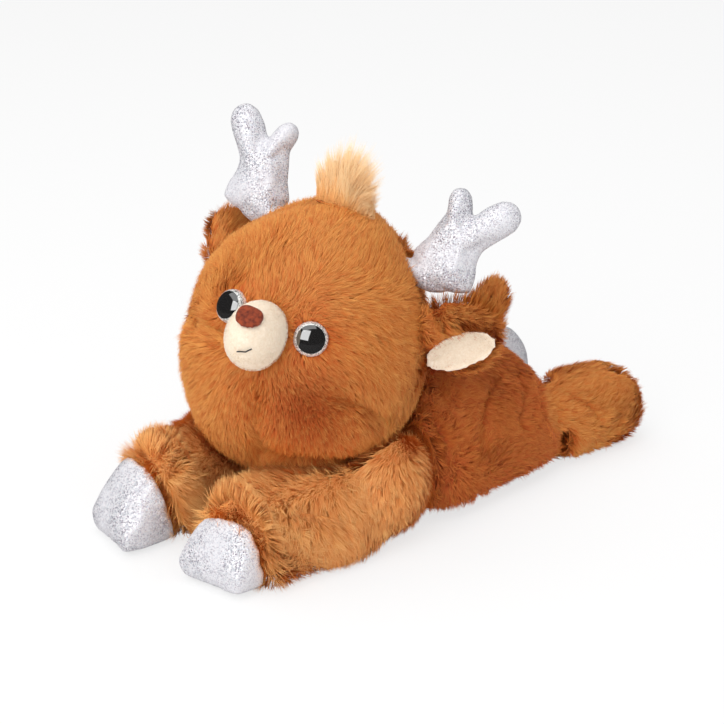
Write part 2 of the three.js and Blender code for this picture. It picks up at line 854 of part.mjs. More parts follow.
function addEar(side, name) {
  const root = headPoint(side * (90 + ear.around), ear.above);
  const raise = radians(ear.raise[name]);
  const sweep = radians(ear.sweep[name]);
  const along = new THREE.Vector3(
    side * Math.cos(raise) * Math.cos(sweep),
    Math.cos(raise) * Math.sin(sweep),
    Math.sin(raise),
  );
  const across = new THREE.Vector3().crossVectors(along, Y).multiplyScalar(side).normalize();
  const front = new THREE.Vector3().crossVectors(along, across).multiplyScalar(side).normalize();
  const roll = new THREE.Quaternion().setFromAxisAngle(along, radians(side * ear.face[name]));
  across.applyQuaternion(roll);
  front.applyQuaternion(roll);
  const carrier = pivotGroup(headGroup, `ear_${name}_pivot`, root, across);
  const axis = across.clone().applyQuaternion(headGroup.quaternion);
  const pivot = root.clone().applyMatrix4(headGroup.matrixWorld);

  const wide = through(ear.shapeShares, 1);
  const thick = through(ear.shapeShares, 2);
  const tip = root.clone().addScaledVector(along, ear.length);
  const blade = stuffed({
    spine: new THREE.LineCurve3(root, tip),
    across: (t) => ear.halfWidth * wide(t),
    above: (t) => ear.halfThickness * thick(t),
    below: (t) => ear.halfThickness * thick(t),
    up: front,
    ends: [{ bluntness: 3 }, { bluntness: 3 }],
    facets: facets.small,
  });
  // The bowl is a stretched ball let into the front of the ear.
  const bowlMiddle = root
    .clone()
    .addScaledVector(along, ear.length * ear.bowlMiddleShare)
    .addScaledVector(across, -ear.halfWidth * ear.bowlDropShare)
    .addScaledVector(front, ear.halfThickness);
  const bowl = (grown, lift) => {
    const [steps, segments] = facets.bead;
    const square = new THREE.Vector3().crossVectors(along, across);
    const basis = new THREE.Matrix4().makeBasis(along, across, square);
    const middle = bowlMiddle.clone().addScaledVector(front, lift);
    return new THREE.SphereGeometry(1, segments, steps)
      .scale(
        ear.length * ear.bowlLengthShare + grown,
        ear.halfWidth * ear.bowlWidthShare + grown,
        ear.bowl + grown,
      )
      .applyMatrix4(basis)
      .translate(middle.x, middle.y, middle.z);
  };
  const beadOf = (grown) => bead(root, across, ear.rootRadius, ear.rootHalfLength, grown);
  let back = clearOf(solid(onHead(blade)), onHead(headEgg(fit.seamGap)), pivot, axis, ear.swing);
  back = back.add(solid(onHead(beadOf(0)))).subtract(solid(onHead(bowl(0, 0))));
  let lining = solid(onHead(bowl(-fit.seamGap, 0)));
  lining = lining.subtract(solid(onHead(bowl(-fit.seamGap, ear.liningThickness))));
  headBody = headBody.subtract(solid(beadOf(fit.seamGap)));
  addPiece(carrier, `ear_back_${name}`, largest(back), finish.fur);
  addPiece(carrier, `ear_lining_${name}`, largest(lining), finish.pile);
}

// Antlers: two flat stuffed tines on a stem that flares where it is sewn to the head.

function addAntler(side, name) {
  const root = headPoint(side * (90 + antler.behind), antler.above);
  const lean = radians(antler.lean);
  const up = new THREE.Vector3(side * Math.sin(lean), 0, Math.cos(lean));
  const out = new THREE.Vector3(side * Math.cos(lean), 0, -Math.sin(lean));
  const carrier = pivotGroup(headGroup, `antler_${name}_pivot`, root, out);
  const axis = out.clone().applyQuaternion(headGroup.quaternion);
  const pivot = root.clone().applyMatrix4(headGroup.matrixWorld);
  const at = (outwards, upwards) => root.clone().addScaledVector(out, outwards).addScaledVector(up, upwards);

  const forkOut = antler.spread * antler.forkShare.out;
  const forkUp = antler.height * antler.forkShare.up;
  const bendUp = antler.height * antler.bendShare.up;
  const tine = (tipOut, tipUp, halfWidth) =>
    stuffed({
      spine: new THREE.QuadraticBezierCurve3(
        at(forkOut, forkUp - halfWidth),
        at(forkOut + (tipOut - forkOut) * antler.bendShare.out, bendUp - halfWidth / 2),
        at(tipOut, tipUp),
      ),
      across: () => halfWidth,
      above: () => antler.halfThickness,
      below: () => antler.halfThickness,
      up: Y,
      ends: [{ bluntness: 4 }, { bluntness: 4 }],
      facets: facets.small,
    });
  const flare = through(antler.flareShares, 1);
  const stem = stuffed({
    spine: new THREE.LineCurve3(
      at(antler.foot.out, antler.foot.up),
      at(forkOut, forkUp + antler.stemHalfWidth),
    ),
    across: (t) => antler.stemHalfWidth + (antler.footHalfWidth - antler.stemHalfWidth) * flare(t),
    above: () => antler.halfThickness,
    below: () => antler.halfThickness,
    up: Y,
    ends: [{ bluntness: 5 }, { bluntness: 5 }],
    facets: facets.small,
  });
  const beadOf = (grown) => bead(root, out, antler.rootRadius, antler.rootHalfLength, grown);
  let body = solid(onHead(stem))
    .add(solid(onHead(tine(antler.spread, antler.height, antler.outerHalfWidth))))
    .add(solid(onHead(tine(-antler.inset, antler.height * antler.innerShare, antler.innerHalfWidth))));
  body = clearOf(body, onHead(headEgg(fit.seamGap)), pivot, axis, antler.swing);
  body = body.add(solid(onHead(beadOf(0))));
  headBody = headBody.subtract(solid(beadOf(fit.seamGap)));
  addPiece(carrier, `antler_${name}`, largest(body), finish.lame);
}

for (const [side, name] of [
  [1, 'left'],
  [-1, 'right'],
]) {
  addEye(side, name);
  addEar(side, name);
  addAntler(side, name);
}
addMuzzle();
addNose();
addTuft();

// The head's cuts are made in its own frame, so its solid is moved to where the head is.
const headFaces = faces(headBody, new THREE.Group());
addPiece(headGroup, 'head', largest(solid(onHead(headFaces))), finish.fur);

// The deer stands with the middle of its outline over the origin.
const outline = new THREE.Box3().setFromObject(deer, true);
deer.position.set(-(outline.min.x + outline.max.x) / 2, -(outline.min.y + outline.max.y) / 2, -outline.min.z);

export default deer;
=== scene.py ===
# A plush deer lying on its belly, with its head turned to its left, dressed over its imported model.
# Metres, +Z up. The deer faces -Y and its left side is +X.

import math

import bpy
import numpy as np
from mathutils import Matrix, Vector
from mathutils.bvhtree import BVHTree
from mathutils.kdtree import KDTree


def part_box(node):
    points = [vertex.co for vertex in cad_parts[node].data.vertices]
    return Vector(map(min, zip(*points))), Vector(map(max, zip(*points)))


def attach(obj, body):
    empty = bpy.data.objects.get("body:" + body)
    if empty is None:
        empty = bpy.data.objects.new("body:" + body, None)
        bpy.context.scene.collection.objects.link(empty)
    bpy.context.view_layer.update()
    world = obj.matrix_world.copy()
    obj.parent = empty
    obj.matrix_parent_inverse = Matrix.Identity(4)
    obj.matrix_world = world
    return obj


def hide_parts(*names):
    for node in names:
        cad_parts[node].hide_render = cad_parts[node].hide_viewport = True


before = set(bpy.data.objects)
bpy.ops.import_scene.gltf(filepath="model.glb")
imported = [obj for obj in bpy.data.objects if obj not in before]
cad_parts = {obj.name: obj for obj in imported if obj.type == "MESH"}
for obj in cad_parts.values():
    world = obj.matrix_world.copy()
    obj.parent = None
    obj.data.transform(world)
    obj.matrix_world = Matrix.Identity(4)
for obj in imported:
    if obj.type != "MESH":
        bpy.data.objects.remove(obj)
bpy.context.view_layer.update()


# The torso
# A sack of long-piled plush, sewn with the pile inwards, turned, and stuffed with polyester. The
# stuffed skin is made first, and then the pile, which is combed back and lies in small locks.

mm = 0.001
scene = bpy.context.scene
chance = np.random.default_rng(7)


def alone(piece):
    """Makes a piece the active object and the only one selected."""
    bpy.ops.object.select_all(action="DESELECT")
    piece.select_set(True)
    bpy.context.view_layer.objects.active = piece


def modify(piece, kind, **settings):
    """Gives a piece a modifier and applies it."""
    alone(piece)
    modifier = piece.modifiers.new(kind.title(), kind)
    for name, value in settings.items():
        setattr(modifier, name, value)
    bpy.ops.object.modifier_apply(modifier=modifier.name)


def read_points(piece):
    places = np.empty(len(piece.data.vertices) * 3, np.float32)
    piece.data.vertices.foreach_get("co", places)
    return places.reshape(-1, 3)


def write_points(piece, places):
    piece.data.vertices.foreach_set("co", np.ascontiguousarray(places, np.float32).ravel())
    piece.data.update()


def read_normals(piece):
    facings = np.empty(len(piece.data.vertices) * 3, np.float32)
    piece.data.vertex_normals.foreach_get("vector", facings)
    return facings.reshape(-1, 3)


def lengths(vectors):
    return np.linalg.norm(vectors, axis=-1, keepdims=True)


def unit(vectors):
    nearly_nothing = 1e-9
    return vectors / np.maximum(lengths(vectors), nearly_nothing)


def one_shell(name, nodes, voxel, smoothing):
    """A new piece: solids that lie together, made one closed skin of even small faces."""
    bpy.ops.object.select_all(action="DESELECT")
    copies = []
    for node in nodes:
        copy = bpy.data.objects.new(name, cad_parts[node].data.copy())
        scene.collection.objects.link(copy)
        copy.select_set(True)
        copies.append(copy)
    piece = copies[0]
    bpy.context.view_layer.objects.active = piece
    if len(copies) > 1:
        bpy.ops.object.join()
    piece.data.materials.clear()
    modify(piece, "WELD", merge_threshold=mm / 100)
    modify(piece, "REMESH", mode="VOXEL", voxel_size=voxel)
    modify(piece, "SMOOTH", factor=0.5, iterations=smoothing)
    return piece


def swell(piece, start, most):
    """Fills a skin: it starts slimmer, its cloth swells, and it ends as large as it was, but fuller where
    it is flat. No point moves further than most."""
    full = read_points(piece)
    slim = full - read_normals(piece) * start
    write_points(piece, slim)
    alone(piece)
    cloth = piece.modifiers.new("Filling", "CLOTH")
    cloth.settings.quality = 4
    cloth.settings.mass = 0.003
    cloth.settings.use_pressure = True
    cloth.settings.uniform_pressure_force = 20
    cloth.settings.effector_weights.gravity = 0
    frames = 20
    cloth.point_cache.frame_start = 1
    cloth.point_cache.frame_end = frames
    for number in range(1, frames + 1):
        scene.frame_set(number)
    bpy.ops.object.modifier_apply(modifier=cloth.name)
    scene.frame_set(1)
    facings = read_normals(piece)
    filled = read_points(piece)
    lost = ((full - filled) * facings).sum(1).mean()
    moves = filled + facings * lost - full
    write_points(piece, full + moves * np.minimum(1, most / np.maximum(lengths(moves), mm / 100)))


skin_starts, skin_moves = 2 * mm, 1.5 * mm


def rounded(piece):
    """Makes a piece's faces four times as many and shades it as one smooth surface."""
    modify(piece, "SUBSURF", levels=1, render_levels=1)
    bpy.ops.object.shade_smooth()


def stuffed_skin(name, nodes, voxel, pile, smoothing=8):
    """The stuffed fabric shell of some solids, a pile's height inside them."""
    skin = one_shell(name, nodes, voxel, smoothing)
    swell(skin, skin_starts, skin_moves)
    modify(skin, "DISPLACE", direction="NORMAL", mid_level=0, strength=-pile)
    modify(skin, "SMOOTH", factor=0.5, iterations=4)
    rounded(skin)
    return skin


def creased(skin, lines, depth, width):
    """Draws a skin in along some lines, as where stuffed fabric folds. Lines are in millimetres."""
    places = read_points(skin)
    facings = read_normals(skin)
    for line in lines:
        stops = np.array(line) * mm
        nearest = np.full(len(places), np.inf)
        for start, end in zip(stops, stops[1:]):
            along = end - start
            share = np.clip((places - start) @ along / (along @ along), 0, 1)
            gaps = lengths(places - start - share[:, None] * along)[:, 0]
            nearest = np.minimum(nearest, gaps)
        places = places - facings * (depth * np.exp(-((nearest / width) ** 2)))[:, None]
    write_points(skin, places)


def strewn(skin, density):
    """Places strewn evenly over a skin, so many to the square millimetre, and the way out at each."""
    mesh = skin.data
    mesh.calc_loop_triangles()
    corners = np.empty(len(mesh.loop_triangles) * 3, np.int32)
    mesh.loop_triangles.foreach_get("vertices", corners)
    corners = corners.reshape(-1, 3)
    places = read_points(skin)[corners]
    facings = read_normals(skin)[corners]
    areas = lengths(np.cross(places[:, 1] - places[:, 0], places[:, 2] - places[:, 0]))[:, 0] / 2
    count = int(areas.sum() / mm**2 * density)
    chosen = chance.choice(len(areas), count, p=areas / areas.sum())
    mixes = chance.dirichlet((1, 1, 1), count)[:, :, None]
    return (places[chosen] * mixes).sum(1), unit((facings[chosen] * mixes).sum(1))


def wavering(places, spacing, seed):
    """Smooth noise in three parts, each from about -1 to 1, that changes over a spacing."""
    own = np.random.default_rng(seed)
    waves = 6
    total = np.zeros((len(places), 3))
    for _ in range(waves):
        turns = own.normal(size=(3, 3)) / spacing
        total += np.sin(places @ turns + own.random(3) * 2 * math.pi)
    return total / math.sqrt(waves / 2)


fur_gives = 3 * mm  # how deep two coats of fur reach into each other
hard_gives = 0
soft_cover = 8 * mm  # how deep in a soft neighbour no strand is laid
solid_trees = {}


def solid_tree(node):
    if node not in solid_trees:
        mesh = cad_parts[node].data
        faces = [tuple(face.vertices) for face in mesh.polygons]
        solid_trees[node] = BVHTree.FromPolygons([point.co for point in mesh.vertices], faces)
    return solid_trees[node]


def depths_in(node, places):
    """How deep each place lies in a solid, less than 0 outside it, and the way out to its surface."""
    far = 30 * mm
    low, high = (np.array(corner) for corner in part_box(node))
    depths = np.full(len(places), -far)
    ways = np.zeros_like(places)
    for index in np.flatnonzero(np.all((places > low) & (places < high), axis=1)):
        place = Vector(places[index])
        spot, facing, _, distance = solid_tree(node).find_nearest(place)
        inside = (spot - place).dot(facing) > 0
        depths[index] = distance if inside else -distance
        ways[index] = (spot - place).normalized() if inside else facing
    return depths, ways


def kept_out(places, obstacles):
    """Places moved to where no obstacle holds them deeper than its fur gives way."""
    for node, give in obstacles.items():
        depths, ways = depths_in(node, places)
        places = places + ways * np.maximum(depths - give, 0)[:, None]
    return places


def locks_of(places, each):
    """For each place, which of the places is the middle of the lock that it belongs to."""
    middles = chance.choice(len(places), max(len(places) // each, 1), replace=False)
    tree = KDTree(len(middles))
    for middle in middles:
        tree.insert(Vector(places[middle]), int(middle))
    tree.balance()
    return np.array([tree.find(Vector(place))[1] for place in places])


shade_columns = 64
shade_rows = 8


def strand_mesh(name, roots, middles, tips, sides, widths, shades, outwards):
    """Strands like long thin leaves, of two triangles that meet at their widest. Each lies on one cell of
    the piece's map, where a column is a shade and height is the way from root to tip. They are lit mostly
    as the skin under them is, which makes a dense pile look soft."""
    count = len(roots)
    half = sides * widths[:, None] / 2
    corners = np.stack([roots, middles + half, middles - half, tips], 1)
    mesh = bpy.data.meshes.new(name)
    mesh.vertices.add(count * 4)
    mesh.vertices.foreach_set("co", corners.astype(np.float32).ravel())
    pattern = np.array([0, 1, 2, 2, 1, 3])
    mesh.loops.add(count * 6)
    order = (np.arange(count)[:, None] * 4 + pattern).astype(np.int32).ravel()
    mesh.loops.foreach_set("vertex_index", order)
    mesh.polygons.add(count * 2)
    mesh.polygons.foreach_set("loop_start", (np.arange(count * 2) * 3).astype(np.int32))
    mesh.polygons.foreach_set("loop_total", np.full(count * 2, 3, np.int32))
    mesh.polygons.foreach_set("use_smooth", np.ones(count * 2, bool))
    columns = np.clip((shades * shade_columns).astype(int), 0, shade_columns - 1)
    rows = chance.integers(0, shade_rows, count)
    margin, middle, end = 0.2, 0.5, 0.92  # shares of a cell
    across = np.array([middle, 1 - margin, margin, margin, 1 - margin, middle])
    along = np.array([1 - end, middle, middle, middle, middle, end])
    map_u = (columns[:, None] + across) / shade_columns
    map_v = (rows[:, None] + along) / shade_rows
    layer = mesh.uv_layers.new(name="OFBake")
    layer.uv.foreach_set("vector", np.stack([map_u, map_v], 2).astype(np.float32).ravel())
    mesh.update(calc_edges=True)
    own = np.cross(unit(tips - roots), sides)
    own *= np.sign((own * outwards).sum(1, keepdims=True))
    softness = 2.2
    facings = np.repeat(unit(own + outwards * softness), 4, axis=0)
    mesh.attributes.new("custom_normal", "FLOAT_VECTOR", "POINT")
    mesh.attributes["custom_normal"].data.foreach_set("vector", facings.astype(np.float32).ravel())
    return mesh


def even(places):
    return np.ones((len(places), 1))


# Pile in a fold is painted darker by fold_shade, as painted shade, and made shorter.
fold_starts, fold_ends = 4.5 * mm, 11 * mm  # deeper than the rest of the skin lies
fold_shade, fold_short = 0.5, 0.3
faces_down, thin_share = -0.6, 0.5  # the underside has fewer strands
sway_share, lock_spread = 0.45, 0.08
shortest, longest = 0.5, 1.4
tip_gap, middle_gap = 0.2, 0.7  # shares of the roots' own gaps
floor_gap = 0.4 * mm
side_spin, width_spread = 0.35, 0.15
cloud_size, cloud_shade = 22 * mm, 0.06
usual_shade, lock_shade, strand_shade = 0.62, 0.15, 0.14
most_strands = 98000


def lay_fur(
    name, skin, body, comb, coat, finish, obstacles, growth=even, home=None, grows=None, lit=None
):
    """Covers a skin with strands that ride on its body. They lie the way that comb gives for a place, and
    stand up where that is short. Growth gives the share of their length, and short pile is painted darker,
    as painted shade. So is pile in a fold, which lies deeper in its home solid than the rest. Grows is the
    way that all of it stands, and lit the way that its shading faces, where these aren't straight out of
    the skin."""
    roots, outwards = strewn(skin, coat["density"])
    if grows is not None:
        outwards = np.tile(grows, (len(roots), 1))
    length = coat["length"] * mm
    covered = np.zeros(len(roots), bool)
    for node, give in obstacles.items():
        if give == hard_gives:
            covered |= depths_in(node, roots + outwards * coat["height"] * mm)[0] > 0
        else:
            covered |= depths_in(node, roots)[0] > soft_cover
    under = (outwards[:, 2] < faces_down) & (chance.random(len(roots)) < thin_share)
    roots, outwards = roots[~covered & ~under], outwards[~covered & ~under]

    folded = np.zeros((len(roots), 1))
    if home:
        sunk = depths_in(home, roots)[0] - coat["height"] * mm
        folded = np.clip((sunk - fold_starts) / (fold_ends - fold_starts), 0, 1)[:, None]

    combed = comb(roots)
    strength = np.minimum(lengths(combed), 1)
    ways = unit(combed) + wavering(roots, coat["sway"] * mm, seed=3) * sway_share
    locks = locks_of(roots, coat["lock"])
    strays = chance.normal(size=roots.shape)
    ways = ways + strays[locks] * coat["tousle"] + strays * coat["stray"]
    ways = unit(ways - outwards * (ways * outwards).sum(1, keepdims=True))
    spread = 1 + chance.normal(size=(len(roots), 1)) * coat["vary"] + strays[locks][:, :1] * lock_spread
    reach = length * np.clip(spread, shortest, longest) * growth(roots) * (1 - fold_short * folded)
    rise, fall = (math.radians(angle) * strength for angle in coat["lean"])
    middles = roots + reach * (outwards * np.cos(rise) + ways * np.sin(rise)) / 2
    tips = middles + reach * (outwards * np.cos(fall) + ways * np.sin(fall)) / 2

    apart = roots - roots[locks]
    pull = coat["pull"]
    tips += ((tips[locks] + apart * tip_gap) - tips) * pull
    middles += ((middles[locks] + apart * middle_gap) - middles) * pull / 2
    buried = np.zeros(len(roots), bool)
    for node, give in obstacles.items():
        if give == hard_gives:
            buried |= depths_in(node, tips)[0] > coat["bury"] * mm
    middles = kept_out(middles, obstacles)
    tips = kept_out(tips, obstacles)
    for ends in (roots, middles, tips):
        ends[:, 2] = np.maximum(ends[:, 2], floor_gap)

    heading = unit(tips - roots)
    facings = outwards if lit is None else np.tile(lit, (len(roots), 1))
    sides = unit(np.cross(heading, facings) + facings * chance.normal(size=(len(roots), 1)) * side_spin)
    widths = coat["width"] * mm * (1 + chance.normal(size=len(roots)) * width_spread)
    cloud = wavering(roots, cloud_size, seed=5)[:, 0] * cloud_shade
    # Short pile and pile in folds are painted darker: painted shade.
    depth = np.clip(1 - growth(roots)[:, 0], 0, 1) * coat["dim"] + folded[:, 0] * fold_shade
    shades = usual_shade + cloud + strays[locks][:, 1] * lock_shade + strays[:, 2] * strand_shade - depth

    order = np.argsort(roots[:, 0])
    order = order[~buried[order]]
    for number, chosen in enumerate(np.array_split(order, math.ceil(len(order) / most_strands)), 1):
        parts = [values[chosen] for values in (roots, middles, tips, sides, widths, shades, facings)]
        piece = bpy.data.objects.new(f"{name}_{number}", strand_mesh(f"{name}_{number}", *parts))
        scene.collection.objects.link(piece)
        piece.data.materials.append(finish)
        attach(piece, body)


class Signal:
    """A shader's output, which sums and products can be written with."""

    def __init__(self, tree, socket=None):
        self.tree = tree
        self.socket = socket

    def node(self, kind, settings=(), inputs=(), output=0):
        """Adds a node of a kind: its settings first, and then its sockets' values or links."""
        made = self.tree.nodes.new(kind)
        for name, value in dict(settings).items():
            if name == "stops":
                while len(made.color_ramp.elements) < len(value):
                    made.color_ramp.elements.new(1)
                for element, (place, colour) in zip(made.color_ramp.elements, value):
                    element.position = place
                    element.color = (*colour, 1)
            else:
                setattr(made, name, value)
        for name, value in dict(inputs).items():
            if isinstance(value, Signal):
                self.tree.links.new(value.socket, made.inputs[name])
            else:
                made.inputs[name].default_value = value
        return Signal(self.tree, made.outputs[output])

    def maths(self, operation, *values):
        return self.node("ShaderNodeMath", {"operation": operation}, dict(enumerate(values)))

    def __add__(self, other):
        return self.maths("ADD", self, other)

    def __sub__(self, other):
        return self.maths("SUBTRACT", self, other)

    def __rsub__(self, other):
        return self.maths("SUBTRACT", other, self)

    def __mul__(self, other):
        return self.maths("MULTIPLY", self, other)

    def __truediv__(self, other):
        return self.maths("DIVIDE", self, other)

    def __lt__(self, other):
        return self.maths("LESS_THAN", self, other)

    def __gt__(self, other):
        return self.maths("GREATER_THAN", self, other)

    __radd__ = __add__

    def mixed(self, blend, below, above):
        """Two colours blended by this signal."""
        return self.node(
            "ShaderNodeMix",
            {"data_type": "RGBA", "blend_type": blend},
            {0: self, 6: below, 7: above},
            output=2,
        )


def new_finish(name, **values):
    """A material, the signal that its nodes are added with, and its surface shader."""
    material = bpy.data.materials.new(name)
    material.use_nodes = True
    surface = material.node_tree.nodes["Principled BSDF"]
    for socket, value in values.items():
        surface.inputs[socket.replace("_", " ")].default_value = value
    return material, Signal(material.node_tree), surface


def feed(surface, socket, signal):
    signal.tree.links.new(signal.socket, surface.inputs[socket])


pile_gloss = 0.3


def pile_finish(name, stops, dark, light):
    """Strands that change colour from root to tip, and from strand to strand by their place on the map."""
    material, make, surface = new_finish(name, Roughness=0.62)
    place = make.node("ShaderNodeUVMap", {"uv_map": "OFBake"})
    across = make.node("ShaderNodeSeparateXYZ", (), {0: place}, output=0)
    up = make.node("ShaderNodeSeparateXYZ", (), {0: place}, output=1)
    along = (up * shade_rows).maths("FRACT", up * shade_rows)
    shade = (across * shade_columns).maths("FLOOR", across * shade_columns) / shade_columns
    colour = make.node("ShaderNodeValToRGB", {"stops": stops}, {0: along})
    tint = make.node("ShaderNodeValToRGB", {"stops": [(0, dark), (1, light)]}, {0: shade})
    multiplied = {"data_type": "RGBA", "blend_type": "MULTIPLY"}
    feed(surface, "Base Color", make.node("ShaderNodeMix", multiplied, {0: 1, 6: colour, 7: tint}, output=2))
    surface.inputs["Specular IOR Level"].default_value = pile_gloss
    return material


# Strands of low shade take the dark tint: at random, and as painted shade in folds and short pile.
orange_dark = (0.79, 0.33, 0.16)
orange_light = (1, 1, 1)
# Darker towards the root, as painted shade deep in the pile.
fur_stops = [(0.05, (0.5, 0.12, 0.012)), (0.45, (0.74, 0.262, 0.042)), (0.92, (0.82, 0.41, 0.105))]
fur_finish = pile_finish("fur", fur_stops, orange_dark, orange_light)
# A darker copy of the fur for the torso: painted shade, as its flanks face away from the lamps.
shaded_flank_stops = [(0.05, (0.36, 0.06, 0.005)), (0.45, (0.57, 0.147, 0.018)), (0.92, (0.67, 0.23, 0.042))]
shaded_flank_finish = pile_finish("shaded_flank_fur", shaded_flank_stops, orange_dark, orange_light)


def grained_finish(name, texture, grain, stops, bump=0, **values):
    """A material of a few near colours, mixed by a fine texture that may raise it a little too."""
    material, make, surface = new_finish(name, **values)
    place = make.node("ShaderNodeTexCoord", output=3)
    pattern = make.node(texture, (), {"Vector": place, **grain})
    feed(surface, "Base Color", make.node("ShaderNodeValToRGB", {"stops": stops}, {0: pattern}))
    if bump:
        raised = {"Strength": bump, "Distance": mm / 2, "Height": pattern}
        feed(surface, "Normal", make.node("ShaderNodeBump", (), raised))
    return material


def backing_finish(name, deep, high):
    """The knit that the pile is rooted in, its colour darkened as painted shade between the strands."""
    grain, stops = {"Scale": 900, "Detail": 3}, [(0.35, deep), (0.7, high)]
    return grained_finish(name, "ShaderNodeTexNoise", grain, stops, bump=0.3, Roughness=0.95)


# Dark backing: painted shade in the gaps between the strands.
backing = backing_finish("fur_backing", (0.4, 0.08, 0.01), (0.7, 0.2, 0.03))

fur_height = 4  # millimetres that the combed pile stands above the skin
fur_coat = {
    "density": 4.7,
    "length": 10,
    "height": fur_height,
    "width": 0.4,
    "lean": (42, 66),
    "lock": 7,
    "pull": 0.2,
    "sway": 14,
    "tousle": 0.2,
    "stray": 0.18,
    # How much darker short pile is painted, as painted shade.
    "dim": 0.8,
    "vary": 0.12,
    "bury": 1.5,
}
flank_coat = {**fur_coat, "density": 3.8, "length": 8, "width": 0.46}

outward_share = 0.15


def side_way(places, along, down):
    """Combed along the deer and down its flanks."""
    out = np.sign(places[:, :1])
    ways = np.hstack([out * outward_share, np.zeros_like(out), np.full_like(out, -down)])
    ways[:, 1] = along
    return ways


torso_grain = 4 * mm
torso_skin = stuffed_skin("torso_skin", ["torso"], torso_grain, fur_height * mm)
deep_folds = [
    [(50, -13, 66), (58, -10, 57), (64, -8, 44), (67, -11, 31), (68, -15, 16), (65, -16, 9)],
]
slight_folds = [
    [(43, 4, 76), (54, -2, 65), (62, 0, 55), (66, 0, 44), (69, -3, 36)],
    [(48, 47, 68), (55, 32, 63), (62, 21, 53), (68, 15, 40)],
    [(46, 66, 64), (55, 63, 55), (63, 50, 44)],
]
middle_x = -2.225


def both_sides(lines):
    """Lines on the deer's left, and the same on its right."""
    return lines + [[(2 * middle_x - x, y, z) for x, y, z in line] for line in lines]


deep_sizes = {"depth": 12 * mm, "width": 6 * mm}
slight_sizes = {"depth": 8 * mm, "width": 5 * mm}
creased(torso_skin, both_sides(deep_folds), **deep_sizes)
creased(torso_skin, both_sides(slight_folds), **slight_sizes)
torso_skin.data.materials.append(backing)
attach(torso_skin, "torso")
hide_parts("torso")
neighbours = ("head", "foreleg_left", "foreleg_right", "hind_leg_left", "hind_leg_right", "tail")
torso_limits = {node: fur_gives for node in neighbours}
flank_fall = 0.45
lay_fur(
    "torso_fur",
    torso_skin,
    "torso",
    lambda places: side_way(places, 1, flank_fall),
    flank_coat,
    shaded_flank_finish,
    torso_limits,
    home="torso",
)


# The legs
# Four stuffed tubes of the same plush. Each is closed by a round end at the body, and the pile runs
# down to the hoof.

leg_folds = [
    [(55, 97, 44), (63, 107, 36), (66, 113, 27)],
    [(68, 130, 18), (67, 118, 11), (66, 107, 10)],
    [(57, -109, 41), (62, -97, 35), (66, -86, 28)],
]
leg_fold_sizes = {"depth": 5.5 * mm, "width": 5 * mm}
leg_grain = 3 * mm
leg_fall = 0.3
collar_reach, collar_longer = 14 * mm, 0.15
shoulder_starts, shoulder_reach, shoulder_shorter = -85, 60, 0.3
turned_back, most_turned = 5, 1.7


def add_leg(name, hoof, forwards, fluff, coat, finish, knit, obstacles):
    low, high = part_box(hoof)
    seam_at = high[1] if forwards < 0 else low[1]

    def collar(places):
        """How near a place is to the hoof's seam, where the pile is long and stands up: 1 at the seam."""
        return np.exp(-(((places[:, 1:2] - seam_at) / collar_reach) ** 2)) * fluff

    def leg_way(places):
        """Down the leg, but turned back close to a fluffed hoof."""
        before_seam = (places[:, 1] - seam_at) * -forwards / mm
        turned = np.clip(before_seam / turned_back - 1, 1 - most_turned * fluff, 1)
        return side_way(places, turned * forwards, leg_fall)

    def leg_growth(places):
        """Longer at the hoof, and shorter and painted darker towards the shoulder, as painted shade."""
        shoulder = np.clip((places[:, 1:2] / mm - shoulder_starts) / shoulder_reach, 0, 1)
        return 1 + collar_longer * collar(places) - shoulder_shorter * shoulder * fluff

    skin = stuffed_skin(f"{name}_skin", [name], leg_grain, fur_height * mm)
    creased(skin, both_sides(leg_folds), **leg_fold_sizes)
    skin.data.materials.append(knit)
    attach(skin, name)
    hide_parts(name)
    # Only the hind legs' pile in folds is painted darker, as painted shade, and made shorter.
    home = name if fluff < 1 else None
    lay_fur(f"{name}_fur", skin, name, leg_way, coat, finish, obstacles, leg_growth, home=home)


# Lighter copies of the fur and its backing for the forelegs: painted light, lifting their standing pile out
# of its own shade.
lit_fluffed_stops = [(0.05, (0.9, 0.36, 0.08)), (0.45, (0.97, 0.47, 0.13)), (0.92, (1, 0.6, 0.23))]
lit_fluffed_dark = (0.8, 0.43, 0.25)
lit_fluffed_finish = pile_finish("lit_fluffed_fur", lit_fluffed_stops, lit_fluffed_dark, orange_light)
lit_fluffed_backing = backing_finish("lit_fluffed_backing", (0.75, 0.28, 0.06), (0.92, 0.42, 0.12))
fluffed_coat = {
    **fur_coat,
    "density": 4,
    "length": 11,
    "width": 0.36,
    "lean": (32, 58),
    "lock": 10,
    "bury": 3,
}
for side in ("left", "right"):
    fore_hoof, hind_hoof = f"fore_hoof_{side}", f"hind_hoof_{side}"
    fore_limits = {"torso": fur_gives, "head": fur_gives, fore_hoof: hard_gives}
    add_leg(f"foreleg_{side}", fore_hoof, -1, 1, fluffed_coat, lit_fluffed_finish, lit_fluffed_backing, fore_limits)
    hind_limits = {"torso": fur_gives, hind_hoof: hard_gives}
    add_leg(f"hind_leg_{side}", hind_hoof, 1, 0, flank_coat, fur_finish, backing, hind_limits)


# The hooves
# Caps of silver knit with sparkling flecks, sewn to the ends of the legs and stuffed with them.


fleck_size, fleck_reach, fleck_tip = 0.7 * mm, 0.62, 0.9
fleck_metal, fleck_smoother, knit_rough = 0.35, 0.2, 0.55
hue_share = 0.4


